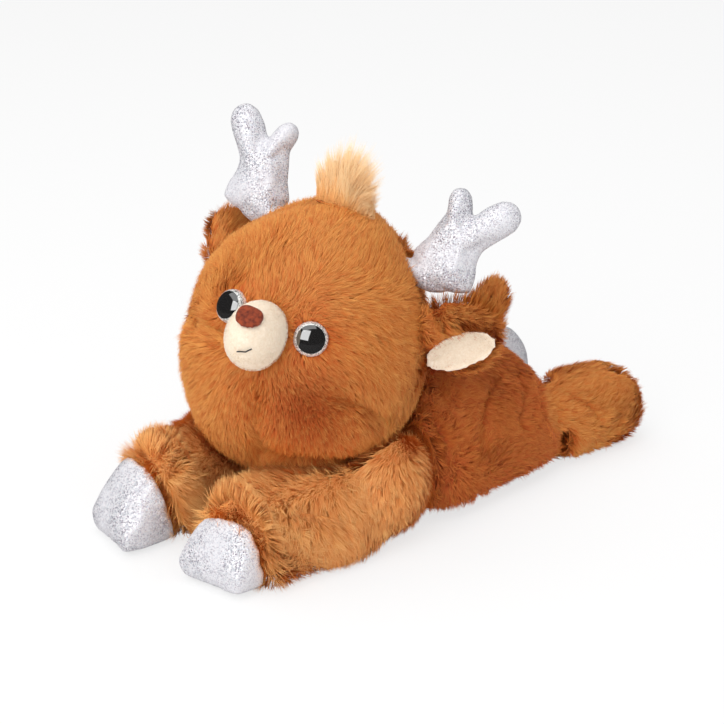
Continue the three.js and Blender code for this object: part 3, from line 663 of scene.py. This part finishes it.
def sparkling_finish(name):
    """Pale knit strewn with tiny mirror flecks, each tipped its own way."""
    material, make, surface = new_finish(name)
    place = make.node("ShaderNodeTexCoord", output=3)
    cells = {"Vector": place, "Scale": 1 / fleck_size, "Randomness": 1}
    fleck = make.node("ShaderNodeTexVoronoi", {"feature": "F1"}, cells, output=1)
    distance = make.node("ShaderNodeTexVoronoi", {"feature": "F1"}, cells, output=0)
    kind = make.node("ShaderNodeSeparateColor", (), {0: fleck}, output=0)
    hue = make.node("ShaderNodeSeparateColor", (), {0: fleck}, output=1)
    clouds = make.node("ShaderNodeTexNoise", (), {"Vector": place, "Scale": 50, "Detail": 2})
    worn = make.node("ShaderNodeMapRange", (), {0: clouds, 1: 0.35, 2: 0.6, 3: 0.35, 4: 1})
    shine = (distance < fleck_reach) * worn
    tints = [
        (0, (0.26, 0.24, 0.27)),
        (0.22, (0.42, 0.36, 0.44)),
        (0.4, (0.62, 0.66, 0.72)),
        (0.55, (0.98, 0.98, 1)),
        (0.8, (0.8, 0.74, 0.78)),
        (1, (0.45, 0.52, 0.6)),
    ]
    mix = kind * (1 - hue_share) + hue * hue_share
    colours = make.node("ShaderNodeValToRGB", {"stops": tints}, {0: mix})
    base = (0.72, 0.71, 0.745, 1)
    feed(surface, "Base Color", shine.mixed("MIX", base, colours))
    feed(surface, "Metallic", shine * fleck_metal)
    feed(surface, "Roughness", knit_rough - shine * fleck_smoother)
    centred = make.node("ShaderNodeVectorMath", {"operation": "SUBTRACT"}, {0: fleck, 1: (0.5, 0.5, 0.5)})
    tip = make.node("ShaderNodeVectorMath", {"operation": "SCALE"}, {0: centred, "Scale": shine * fleck_tip})
    facing = make.node("ShaderNodeNewGeometry", output=1)
    turned = make.node("ShaderNodeVectorMath", {"operation": "ADD"}, {0: facing, 1: tip})
    feed(surface, "Normal", make.node("ShaderNodeVectorMath", {"operation": "NORMALIZE"}, {0: turned}))
    return material


silver_lame = sparkling_finish("silver_lame")
lame_starts, lame_moves = 1.5 * mm, 2 * mm
cap_smoothing = 24


def add_cap(name, body, voxel):
    cap = one_shell(f"{name}_cap", [name], voxel, cap_smoothing)
    swell(cap, lame_starts, lame_moves)
    rounded(cap)
    cap.data.materials.append(silver_lame)
    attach(cap, body)
    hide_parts(name)
    return cap


fore_grain, hind_grain = 1.4 * mm, 1.5 * mm
inner_seam = [(32.5, -165, 8), (24.5, -163, 21), (22.5, -155, 32), (20.5, -147, 37)]
seam_sizes = {"depth": 1.2 * mm, "width": 0.9 * mm}
for side in ("left", "right"):
    fore_cap = add_cap(f"fore_hoof_{side}", f"foreleg_{side}", fore_grain)
    creased(fore_cap, both_sides([inner_seam]), **seam_sizes)
    add_cap(f"hind_hoof_{side}", f"hind_leg_{side}", hind_grain)


# The tail
# A short flat tab of the same plush, sewn to the rump, with its pile running to the tip.

thin_coat = {**fur_coat, "length": 8.5, "height": 3}
tail_grain = 2.5 * mm
tail_way = (0, 0.44, 0.9)
tail_skin = stuffed_skin("tail_skin", ["tail"], tail_grain, thin_coat["height"] * mm)
tail_skin.data.materials.append(backing)
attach(tail_skin, "tail")
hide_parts("tail")
lay_fur(
    "tail_fur",
    tail_skin,
    "tail",
    lambda places: np.tile(tail_way, (len(places), 1)),
    thin_coat,
    fur_finish,
    {"torso": fur_gives},
    home="tail",
)


# The head
# A stuffed egg of the same plush, turned to the deer's left, tipped up and leaned. Its pile spreads
# from the muzzle over the face to the back of the head.

head_centre = Vector((-1.225, -53.582, 104)) * mm
head_turn, head_tilt, head_lean = (math.radians(angle) for angle in (28, 22, 14))
head_frame = (
    Matrix.Translation(head_centre)
    @ Matrix.Rotation(head_turn, 4, "Z")
    @ Matrix.Rotation(-head_tilt, 4, "X")
    @ Matrix.Rotation(head_lean, 4, "Y")
)
head_axes = np.array(head_frame.to_3x3())


def on_head(x, y, z):
    """A place given in the head's own frame, in millimetres from its centre."""
    return head_frame @ (Vector((x, y, z)) * mm)


eyes = {"left": 1, "right": -1}
head_width, head_height, egg = 67, 78, 0.1
eye_out, eye_up, eye_sunk = 0.36, 0.07, 3.2


def eye_seat(side):
    """The middle of an eye's seat in the fur, and the way that it faces."""
    x = side * head_width * eye_out
    reach = head_width * math.sqrt(1 - eye_up**2) * (1 - egg * eye_up)
    y = -math.sqrt(reach**2 - x**2)
    z = head_height * eye_up
    facing = Vector((x / head_width**2, y / head_width**2, z / head_height**2)).normalized()
    return on_head(*(Vector((x, y, z)) - facing * eye_sunk)), head_frame.to_3x3() @ facing


comb_middle = np.array(on_head(0, -66, -4))
comb_fall = np.array([0, 0, -0.2])
eye_clearing, eye_parting, eye_shorter = 13 * mm, 2.5, 0.25
ruffle, ruffle_reach, ruffle_rise, ruffle_shorter = np.array(on_head(37, -52, -31)), 26 * mm, 0.85, 0.42
chin, chin_reach, chin_shorter = np.array(on_head(22, -45, -50)), 42 * mm, 0.22


def head_way(places):
    """Away from the muzzle and falling a little, parted round the eyes, and ruffled upright in a patch
    of the left cheek."""
    ways = unit(places - comb_middle) + comb_fall
    for side in eyes.values():
        apart = places - np.array(eye_seat(side)[0])
        ways += eye_parting * unit(apart) * np.exp(-((lengths(apart) / eye_clearing) ** 4))
    upright = np.exp(-((lengths(places - ruffle) / ruffle_reach) ** 2))
    return unit(ways) * (1 - ruffle_rise * upright)


def head_growth(places):
    """Shorter round the eyes, in the ruffled patch and under the muzzle, so painted darker: painted shade.
    """
    share = 1 - ruffle_shorter * np.exp(-((lengths(places - ruffle) / ruffle_reach) ** 2))
    share *= 1 - chin_shorter * np.exp(-((lengths(places - chin) / chin_reach) ** 4))
    for side in eyes.values():
        apart = places - np.array(eye_seat(side)[0])
        share *= 1 - eye_shorter * np.exp(-((lengths(apart) / eye_clearing) ** 4))
    return share


eye_nodes = [f"{part}_{side}" for side in eyes for part in ("eye_lens", "eye_disc")]
head_grain = 3.5 * mm
head_skin = stuffed_skin("head_skin", ["head", *eye_nodes], head_grain, fur_height * mm)


def on_skin(lines):
    """Lines given in the head's own frame, as creased takes them."""
    return [[on_head(*place) / mm for place in line] for line in lines]


head_dents = [
    [(-60, -22, -12), (-57, -22, -34), (-50, -22, -50)],
    [(20, 3, 75), (35, 7, 66), (46, 9, 54)],
    [(-36, -18, 58), (-22, -18, 68)],
]
dent_sizes = {"depth": 4.5 * mm, "width": 17 * mm}
creased(head_skin, on_skin(head_dents), **dent_sizes)
head_folds = [
    [(1, -66, -24), (4, -62, -36), (8, -53, -51), (13, -37, -65)],
    [(46, -48, -19), (56, -36, -18), (64, -15, -24)],
    [(13, -40, -64), (26, -35, -63), (38, -28, -59), (50, -12, -54), (56, 3, -48)],
    [(-46, -46, -12), (-39, -55, -11), (-23, -63, -9)],
    [(48, -51, -15), (53, -43, -28), (50, -38, -44)],
]
head_fold_sizes = {"depth": 10 * mm, "width": 6 * mm}
creased(head_skin, on_skin(head_folds), **head_fold_sizes)
head_skin.data.materials.append(backing)
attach(head_skin, "head")
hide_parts("head")
head_limits = {
    "torso": fur_gives,
    "foreleg_left": fur_gives,
    "foreleg_right": fur_gives,
    "muzzle": hard_gives,
    "nose": hard_gives,
}
for side in eyes:
    head_limits[f"ear_back_{side}"] = fur_gives
    head_limits[f"ear_lining_{side}"] = hard_gives
    head_limits[f"antler_{side}"] = hard_gives
    head_limits[f"eye_lens_{side}"] = hard_gives
lay_fur(
    "head_fur",
    head_skin,
    "head",
    head_way,
    fur_coat,
    fur_finish,
    head_limits,
    head_growth,
    home="head",
)


# The eyes
# A black moulded dome over a disc of silver glitter that shows as a ring, pushed through the fabric on
# a ribbed post, with a toothed washer locked on the post inside the head.

eye_radius, eye_rim, eye_dome, pupil_radius = 9.1, 1.2, 6, 7.4
flatness = 2.2  # of the dome's profile: 2 would make it an ellipse
post_radius, post_length, neck_radius, neck_length, edge = 2.3, 13, 1.95, 3.7, 0.3
sharp_angle = math.radians(40)
clear_coat = {"Coat_Weight": 1, "Coat_Roughness": 0.02, "Coat_IOR": 2.8}
glitter_metal = 0.2


def glitter_finish(name, ringed):
    """Silver glitter under a clear coat, with a black pupil where the piece's map says so."""
    material, make, surface = new_finish(name, Roughness=0.3, **clear_coat)
    surface.inputs["Specular IOR Level"].default_value = 0
    place = make.node("ShaderNodeTexCoord", output=3)
    flecks = {"Vector": place, "Scale": 2200, "Randomness": 1}
    fleck = make.node("ShaderNodeTexVoronoi", {"feature": "F1"}, flecks, output=1)
    kind = make.node("ShaderNodeSeparateColor", (), {0: fleck}, output=0)
    greys = [(0.1, (0.1, 0.11, 0.11)), (0.35, (0.55, 0.57, 0.55)), (0.7, (1, 1, 0.98))]
    silver = make.node("ShaderNodeValToRGB", {"stops": greys}, {0: kind})
    if ringed:
        pupil = make.node("ShaderNodeUVMap", {"uv_map": "Rings"})
        outwards = make.node("ShaderNodeSeparateXYZ", (), {0: pupil}, output=0)
        ring = outwards > pupil_radius / eye_radius
        black = (0.008, 0.007, 0.007, 1)
        feed(surface, "Base Color", ring.mixed("MIX", black, silver))
        feed(surface, "Metallic", ring * glitter_metal)
    else:
        feed(surface, "Base Color", silver)
        surface.inputs["Metallic"].default_value = glitter_metal
    return material


dome_finish = glitter_finish("eye_dome", ringed=True)
disc_finish = glitter_finish("eye_glitter", ringed=False)


def add_dome(side_name, side):
    """The dome and post, turned as one profile about the eye's own line."""
    seat, facing = eye_seat(side)
    steps, turns = 16, 64
    profile = [
        (0, -post_length),
        (post_radius, -post_length),
        (post_radius, -neck_length),
        (neck_radius, -neck_length),
        (neck_radius, 0),
        (eye_radius - edge, 0),
        (eye_radius, edge),
    ]
    for step in range(steps + 1):
        angle = math.pi / 2 * step / steps
        out, up = math.cos(angle) ** (2 / flatness), math.sin(angle) ** (2 / flatness)
        profile.append((eye_radius * out, eye_rim + eye_dome * up))
    mesh = bpy.data.meshes.new(f"eye_dome_{side_name}")
    points, faces, rings = [], [], []
    for turn in range(turns):
        round_by = 2 * math.pi * turn / turns
        for radius, height in profile:
            points.append((radius * math.cos(round_by), radius * math.sin(round_by), height))
            rings.append((radius / eye_radius if height > 0 else 0, turn / turns))
    span = len(profile)
    for turn in range(turns):
        here, there = turn * span, (turn + 1) % turns * span
        for step in range(span - 1):
            faces.append((here + step, there + step, there + step + 1, here + step + 1))
    mesh.from_pydata(points, [], faces)
    layer = mesh.uv_layers.new(name="Rings")
    for loop in mesh.loops:
        layer.uv[loop.index].vector = rings[loop.vertex_index]
    turned = facing.to_track_quat("Z", "Y").to_matrix().to_4x4()
    mesh.transform(Matrix.Translation(seat) @ turned @ Matrix.Scale(mm, 4))
    dome = bpy.data.objects.new(f"eye_dome_{side_name}", mesh)
    scene.collection.objects.link(dome)
    modify(dome, "WELD", merge_threshold=mm / 100)
    alone(dome)
    bpy.ops.object.shade_smooth_by_angle(angle=sharp_angle)
    dome.data.materials.append(dome_finish)
    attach(dome, "head")
    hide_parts(f"eye_lens_{side_name}")


washer_whites = [(0.3, (0.74, 0.74, 0.7)), (0.7, (0.82, 0.82, 0.79))]
washer_finish = grained_finish(
    "washer_plastic",
    "ShaderNodeTexNoise",
    {"Scale": 700, "Detail": 2},
    washer_whites,
    Roughness=0.5,
)


def finish_node(node, finish):
    """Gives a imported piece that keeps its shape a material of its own."""
    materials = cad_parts[node].data.materials
    materials.clear()
    materials.append(finish)


for side_name, side in eyes.items():
    add_dome(side_name, side)
    finish_node(f"eye_disc_{side_name}", disc_finish)
    finish_node(f"eye_washer_{side_name}", washer_finish)


# The muzzle and nose
# The muzzle is a stuffed dome of cream short pile. The nose is a brown flocked button at its top, and
# the mouth is a short line of black stitches.

# The cream pile too runs darker towards the root, as painted shade deep in the pile.
cream_stops = [(0.05, (0.92, 0.77, 0.6)), (0.5, (0.97, 0.86, 0.7)), (0.92, (1, 0.92, 0.79))]
cream_finish = pile_finish("cream_pile", cream_stops, dark=(0.94, 0.92, 0.89), light=(1, 1, 1))
cream_backing = backing_finish("cream_backing", (0.9, 0.76, 0.6), (0.97, 0.86, 0.72))
short_coat = {
    "density": 8,
    "length": 1.2,
    "height": 0.6,
    "width": 0.1,
    "lean": (20, 50),
    "lock": 8,
    "pull": 0.1,
    "sway": 8,
    "tousle": 0.2,
    "stray": 0.3,
    "dim": 0.8,
    "vary": 0.12,
    "bury": 1.5,
}
muzzle_grain = 2 * mm
muzzle_top = np.array(on_head(0, -90, 14))
muzzle_skin = stuffed_skin("muzzle_skin", ["muzzle"], muzzle_grain, short_coat["height"] * mm)
muzzle_skin.data.materials.append(cream_backing)
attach(muzzle_skin, "head")
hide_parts("muzzle")
lay_fur(
    "muzzle_pile",
    muzzle_skin,
    "head",
    lambda places: unit(places - muzzle_top),
    short_coat,
    cream_finish,
    {"head": hard_gives, "nose": hard_gives},
)

flock_browns = [(0.35, (0.12, 0.016, 0.005)), (0.65, (0.32, 0.052, 0.014))]
flock = grained_finish(
    "nose_flock",
    "ShaderNodeTexNoise",
    {"Scale": 420, "Detail": 5},
    flock_browns,
    bump=0.5,
    Roughness=0.9,
    Sheen_Weight=0.15,
    Sheen_Roughness=0.4,
)
nose_grain, nose_smoothing = 0.8 * mm, 6
nose_button = one_shell("nose_button", ["nose"], nose_grain, nose_smoothing)
alone(nose_button)
bpy.ops.object.shade_smooth()
nose_button.data.materials.append(flock)
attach(nose_button, "head")
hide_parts("nose")

mouth_line = [(0.6, -11.1), (2.4, -10.3), (4.8, -9.6), (5.9, -8.4), (7.2, -7.1)]
thread_width = 0.75 * mm
in_front = -120


def on_muzzle(x, z):
    """The place on the muzzle's front straight in from a point of its picture, and the way out there."""
    start = on_head(x, in_front, z)
    inwards = head_frame.to_3x3() @ Vector((0, 1, 0))
    spot, facing, _, _ = solid_tree("muzzle").ray_cast(start, inwards)
    return spot, facing


stitches = bpy.data.curves.new("mouth_thread", "CURVE")
stitches.dimensions = "3D"
stitches.bevel_depth = thread_width / 2
stitches.bevel_resolution = 2
stitches.use_fill_caps = True
run = stitches.splines.new("POLY")
run.points.add(len(mouth_line) - 1)
for point, (x, z) in zip(run.points, mouth_line):
    spot, facing = on_muzzle(x, z)
    point.co = (*(spot + facing * thread_width / 4), 1)
mouth = bpy.data.objects.new("mouth_thread", stitches)
scene.collection.objects.link(mouth)
alone(mouth)
bpy.ops.object.convert(target="MESH")
thread_blacks = [(0, (0.006, 0.006, 0.006)), (1, (0.03, 0.028, 0.028))]
thread = grained_finish(
    "black_thread",
    "ShaderNodeTexWave",
    {"Scale": 500, "Distortion": 2},
    thread_blacks,
    Roughness=0.5,
)
mouth.data.materials.append(thread)
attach(mouth, "head")


# The crown tuft
# A bunch of long loose strands, paler than the rest, sewn in where the panels of the head meet.

# Darker and more orange towards the root, as painted shade deep in the bunch.
tuft_stops = [(0.02, (0.95, 0.42, 0.11)), (0.4, (1, 0.56, 0.22)), (0.92, (1, 0.76, 0.45))]
tuft_finish = pile_finish("pale_fur", tuft_stops, dark=(0.98, 0.93, 0.86), light=(1, 1, 1))
tuft_coat = {
    "density": 7,
    "length": 31,
    "height": 0,
    "width": 0.24,
    "lean": (18, 48),
    "lock": 24,
    "pull": 0.4,
    "sway": 12,
    "tousle": 0.45,
    "stray": 0.45,
    "dim": 0,
    "vary": 0.35,
    "bury": 1.5,
}
tuft_reach = 14 * mm
tuft_spread = 12 * mm
tuft_grain, tuft_smoothing = 2 * mm, 4
tuft_skin = one_shell("crown_tuft_base", ["crown_tuft"], tuft_grain, tuft_smoothing)
crown_up = head_axes[:, 2]
crown_foot = np.array(on_head(0, -15, 74))
tuft_rise = (read_points(tuft_skin) - crown_foot) @ crown_up
low_share, tuft_sunk = 0.12, 4 * mm
tuft_drop = tuft_rise[:, None] * (1 - low_share) + tuft_sunk
write_points(tuft_skin, read_points(tuft_skin) - tuft_drop * crown_up)
tuft_peak = np.array(on_head(-5, -15, 72))
tuft_skin.data.materials.append(backing)
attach(tuft_skin, "head")
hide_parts("crown_tuft")
lay_fur(
    "crown_tuft",
    tuft_skin,
    "head",
    lambda places: (places - tuft_peak) / tuft_spread,
    tuft_coat,
    tuft_finish,
    {},
    lambda places: np.exp(-((lengths(places - tuft_peak) / tuft_reach) ** 2)),
    grows=crown_up,
    lit=unit(crown_up - head_axes[:, 1]),
)


# The ears
# Each is a fur back and a cream short-piled lining, sewn round the rim and left flat, with the fur
# standing out past the rim.

ear_raise = {"left": 34, "right": 43}
ear_sweep = {"left": 12, "right": 67}


def ear_way(side_name, side):
    raise_by, sweep_by = math.radians(ear_raise[side_name]), math.radians(ear_sweep[side_name])
    flat = math.cos(raise_by)
    along = Vector((side * flat * math.cos(sweep_by), flat * math.sin(sweep_by), math.sin(raise_by)))
    return head_frame.to_3x3() @ along


ear_coat = {**thin_coat, "height": 2.5, "lean": (25, 55)}
ear_piles = {"left": 10, "right": 6.5}
lining_stretch, lining_widening, lining_shift, lining_proud, lining_margin = 1.3, 1.35, 6, 3.6, 7
ear_widenings = {"left": 1.45, "right": 1}
ear_lifts = {"left": 1.5, "right": 0}
lining_turns = {"left": 14, "right": 0}
lining_fold = (-22, -8, 6, 14)
lining_fold_sizes = {"depth": 1.1 * mm, "width": 1.3 * mm}
lining_grain, lining_pile = 1.5 * mm, 0.4 * mm
ear_grain, ear_pile = 2 * mm, 2 * mm
shortest_share = 0.2
edge_from, edge_over, edge_rise, edge_longer = 3, 7, 0.7, 0.2


def middle_of(node):
    low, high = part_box(node)
    return (np.array(low) + np.array(high)) / 2


def add_ear(side_name, side):
    body, back, lining = (f"{part}_{side_name}" for part in ("ear", "ear_back", "ear_lining"))
    along = np.array(ear_way(side_name, side))
    inner = middle_of(lining) - middle_of(back)
    inner = unit(inner - along * (inner @ along))

    lining_skin = stuffed_skin(f"{lining}_skin", [lining], lining_grain, lining_pile)
    across = np.cross(inner, along)
    across *= np.sign(across @ head_axes[:, 2])
    turn = math.radians(lining_turns[side_name])
    lengthwise = along * math.cos(turn) + across * math.sin(turn)
    crosswise = across * math.cos(turn) - along * math.sin(turn)
    spread = read_points(lining_skin) - middle_of(lining)
    placed = (spread @ along)[:, None] * lengthwise * lining_stretch
    placed += (spread @ across)[:, None] * crosswise * lining_widening
    placed += (spread @ inner)[:, None] * inner
    moved = middle_of(lining) + (inner * lining_proud - along * lining_shift) * mm
    write_points(lining_skin, moved + placed)
    fold = [(moved + lengthwise * reach * mm) / mm for reach in lining_fold]
    creased(lining_skin, [fold], **lining_fold_sizes)
    lining_skin.data.materials.append(cream_backing)
    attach(lining_skin, body)
    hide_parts(lining)
    lining_points = read_points(lining_skin)
    lining_tree = KDTree(len(lining_points))
    for index, point in enumerate(lining_points):
        lining_tree.insert(Vector(point), index)
    lining_tree.balance()

    def along_way(places):
        return np.tile(along, (len(places), 1))

    def ruffled(places):
        """How near each place is to the upper edge."""
        high = (places - middle_of(back)) @ head_axes[:, 2] / mm
        return np.clip((high - edge_from) / edge_over, 0, 1)[:, None]

    def ruffled_way(places):
        """Towards the tip, but standing up along the upper edge."""
        return along_way(places) * (1 - edge_rise * ruffled(places))

    def round_lining(places):
        """Short where the lining shows, and longest along the upper edge."""
        gaps = np.array([lining_tree.find(Vector(place))[2] for place in places])
        shares = np.clip(gaps / (lining_margin * mm), shortest_share, 1)[:, None]
        return shares + edge_longer * ruffled(places)

    ear_skin = stuffed_skin(f"{back}_skin", [back], ear_grain, ear_pile)
    spread = read_points(ear_skin) - middle_of(back)
    widened = (spread @ across)[:, None] * across * (ear_widenings[side_name] - 1)
    lifted = middle_of(back) + across * ear_lifts[side_name] * mm
    write_points(ear_skin, lifted + spread + widened)
    ear_skin.data.materials.append(backing)
    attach(ear_skin, body)
    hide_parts(back)
    coat = {**ear_coat, "length": ear_piles[side_name]}
    limits = {"head": fur_gives, lining: hard_gives, f"antler_{side_name}": hard_gives}
    lay_fur(f"{back}_fur", ear_skin, body, ruffled_way, coat, fur_finish, limits, round_lining)
    lay_fur(f"{lining}_pile", lining_skin, body, along_way, short_coat, cream_finish, {})


for side_name, side in eyes.items():
    add_ear(side_name, side)


# The antlers
# Two flat pieces of the sparkling knit sewn round their edge, turned, stuffed, and sewn to the head by
# their flared foot.

antler_grain, antler_smoothing = 1.5 * mm, 6
for side_name in eyes:
    sack_name = f"antler_{side_name}_sack"
    antler = one_shell(sack_name, [f"antler_{side_name}"], antler_grain, antler_smoothing)
    swell(antler, lame_starts, lame_moves)
    rounded(antler)
    antler.data.materials.append(silver_lame)
    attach(antler, f"antler_{side_name}")
    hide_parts(f"antler_{side_name}")


# The studio
# A white floor and surround with plain soft light, and the camera where the photograph was taken from.

floor_size, floor_glow = 6, 0.7
bpy.ops.mesh.primitive_plane_add(size=floor_size)
floor = bpy.context.active_object
floor.name = "floor"
white = bpy.data.materials.new("white_floor")
white.use_nodes = True
white.node_tree.nodes.clear()
sheet = Signal(white.node_tree)
seen = sheet.node("ShaderNodeLightPath", output=0)
in_gloss = sheet.node("ShaderNodeLightPath", output=3)
pale, dim = (0.9, 0.9, 0.9, 1), (0.06, 0.06, 0.06, 1)
lit = sheet.node("ShaderNodeBsdfDiffuse", (), {"Color": in_gloss.mixed("MIX", pale, dim)})
glow = sheet.node("ShaderNodeEmission", (), {"Color": (1, 1, 1, 1), "Strength": 1})
shown = sheet.node("ShaderNodeMixShader", (), {0: seen * floor_glow, 1: lit, 2: glow})
surface_end = white.node_tree.nodes.new("ShaderNodeOutputMaterial")
white.node_tree.links.new(shown.socket, surface_end.inputs["Surface"])
floor.data.materials.append(white)

world = bpy.data.worlds.new("white_surround")
scene.world = world
world.use_nodes = True
sky = Signal(world.node_tree)
world_background = world.node_tree.nodes["Background"]
world_background.inputs["Color"].default_value = (1, 1, 1, 1)
direct = sky.node("ShaderNodeLightPath", output=0)
mirrored = sky.node("ShaderNodeLightPath", output=3)
through = sky.node("ShaderNodeLightPath", output=4)
ambient, dim_mirror = 0.73, 0.04
seen_white = direct + through - direct * through
feed(world_background, "Strength", ambient + seen_white * (1 - ambient) - mirrored * (ambient - dim_mirror))


def add_softbox(name, place, aim, size, power):
    lamp = bpy.data.lights.new(name, "AREA")
    lamp.shape = "RECTANGLE"
    lamp.size, lamp.size_y = size
    lamp.energy = power
    holder = bpy.data.objects.new(name, lamp)
    scene.collection.objects.link(holder)
    holder.location = place
    holder.rotation_euler = (Vector(aim) - Vector(place)).to_track_quat("-Z", "Y").to_euler()


deer_middle = (0, 0, 0.08)
key_place, key_size, key_power = (0.455, -1.094, 0.858), (1, 1), 9
overhead_place, overhead_size, overhead_power = (-0.1, -0.2, 1.5), (1.6, 1.6), 7
add_softbox("key", key_place, deer_middle, key_size, key_power)
add_softbox("overhead", overhead_place, deer_middle, overhead_size, overhead_power)

camera_round, camera_down = 48, 22.4
camera = bpy.data.cameras.new("camera")
camera.sensor_width = 36
camera.lens = 95.72
camera_holder = bpy.data.objects.new("camera", camera)
scene.collection.objects.link(camera_holder)
camera_holder.location = (0.74278, -0.68358, 0.49)
camera_holder.rotation_euler = (math.radians(90 - camera_down), 0, math.radians(camera_round))
scene.camera = camera_holder
scene.view_settings.view_transform = "Standard"
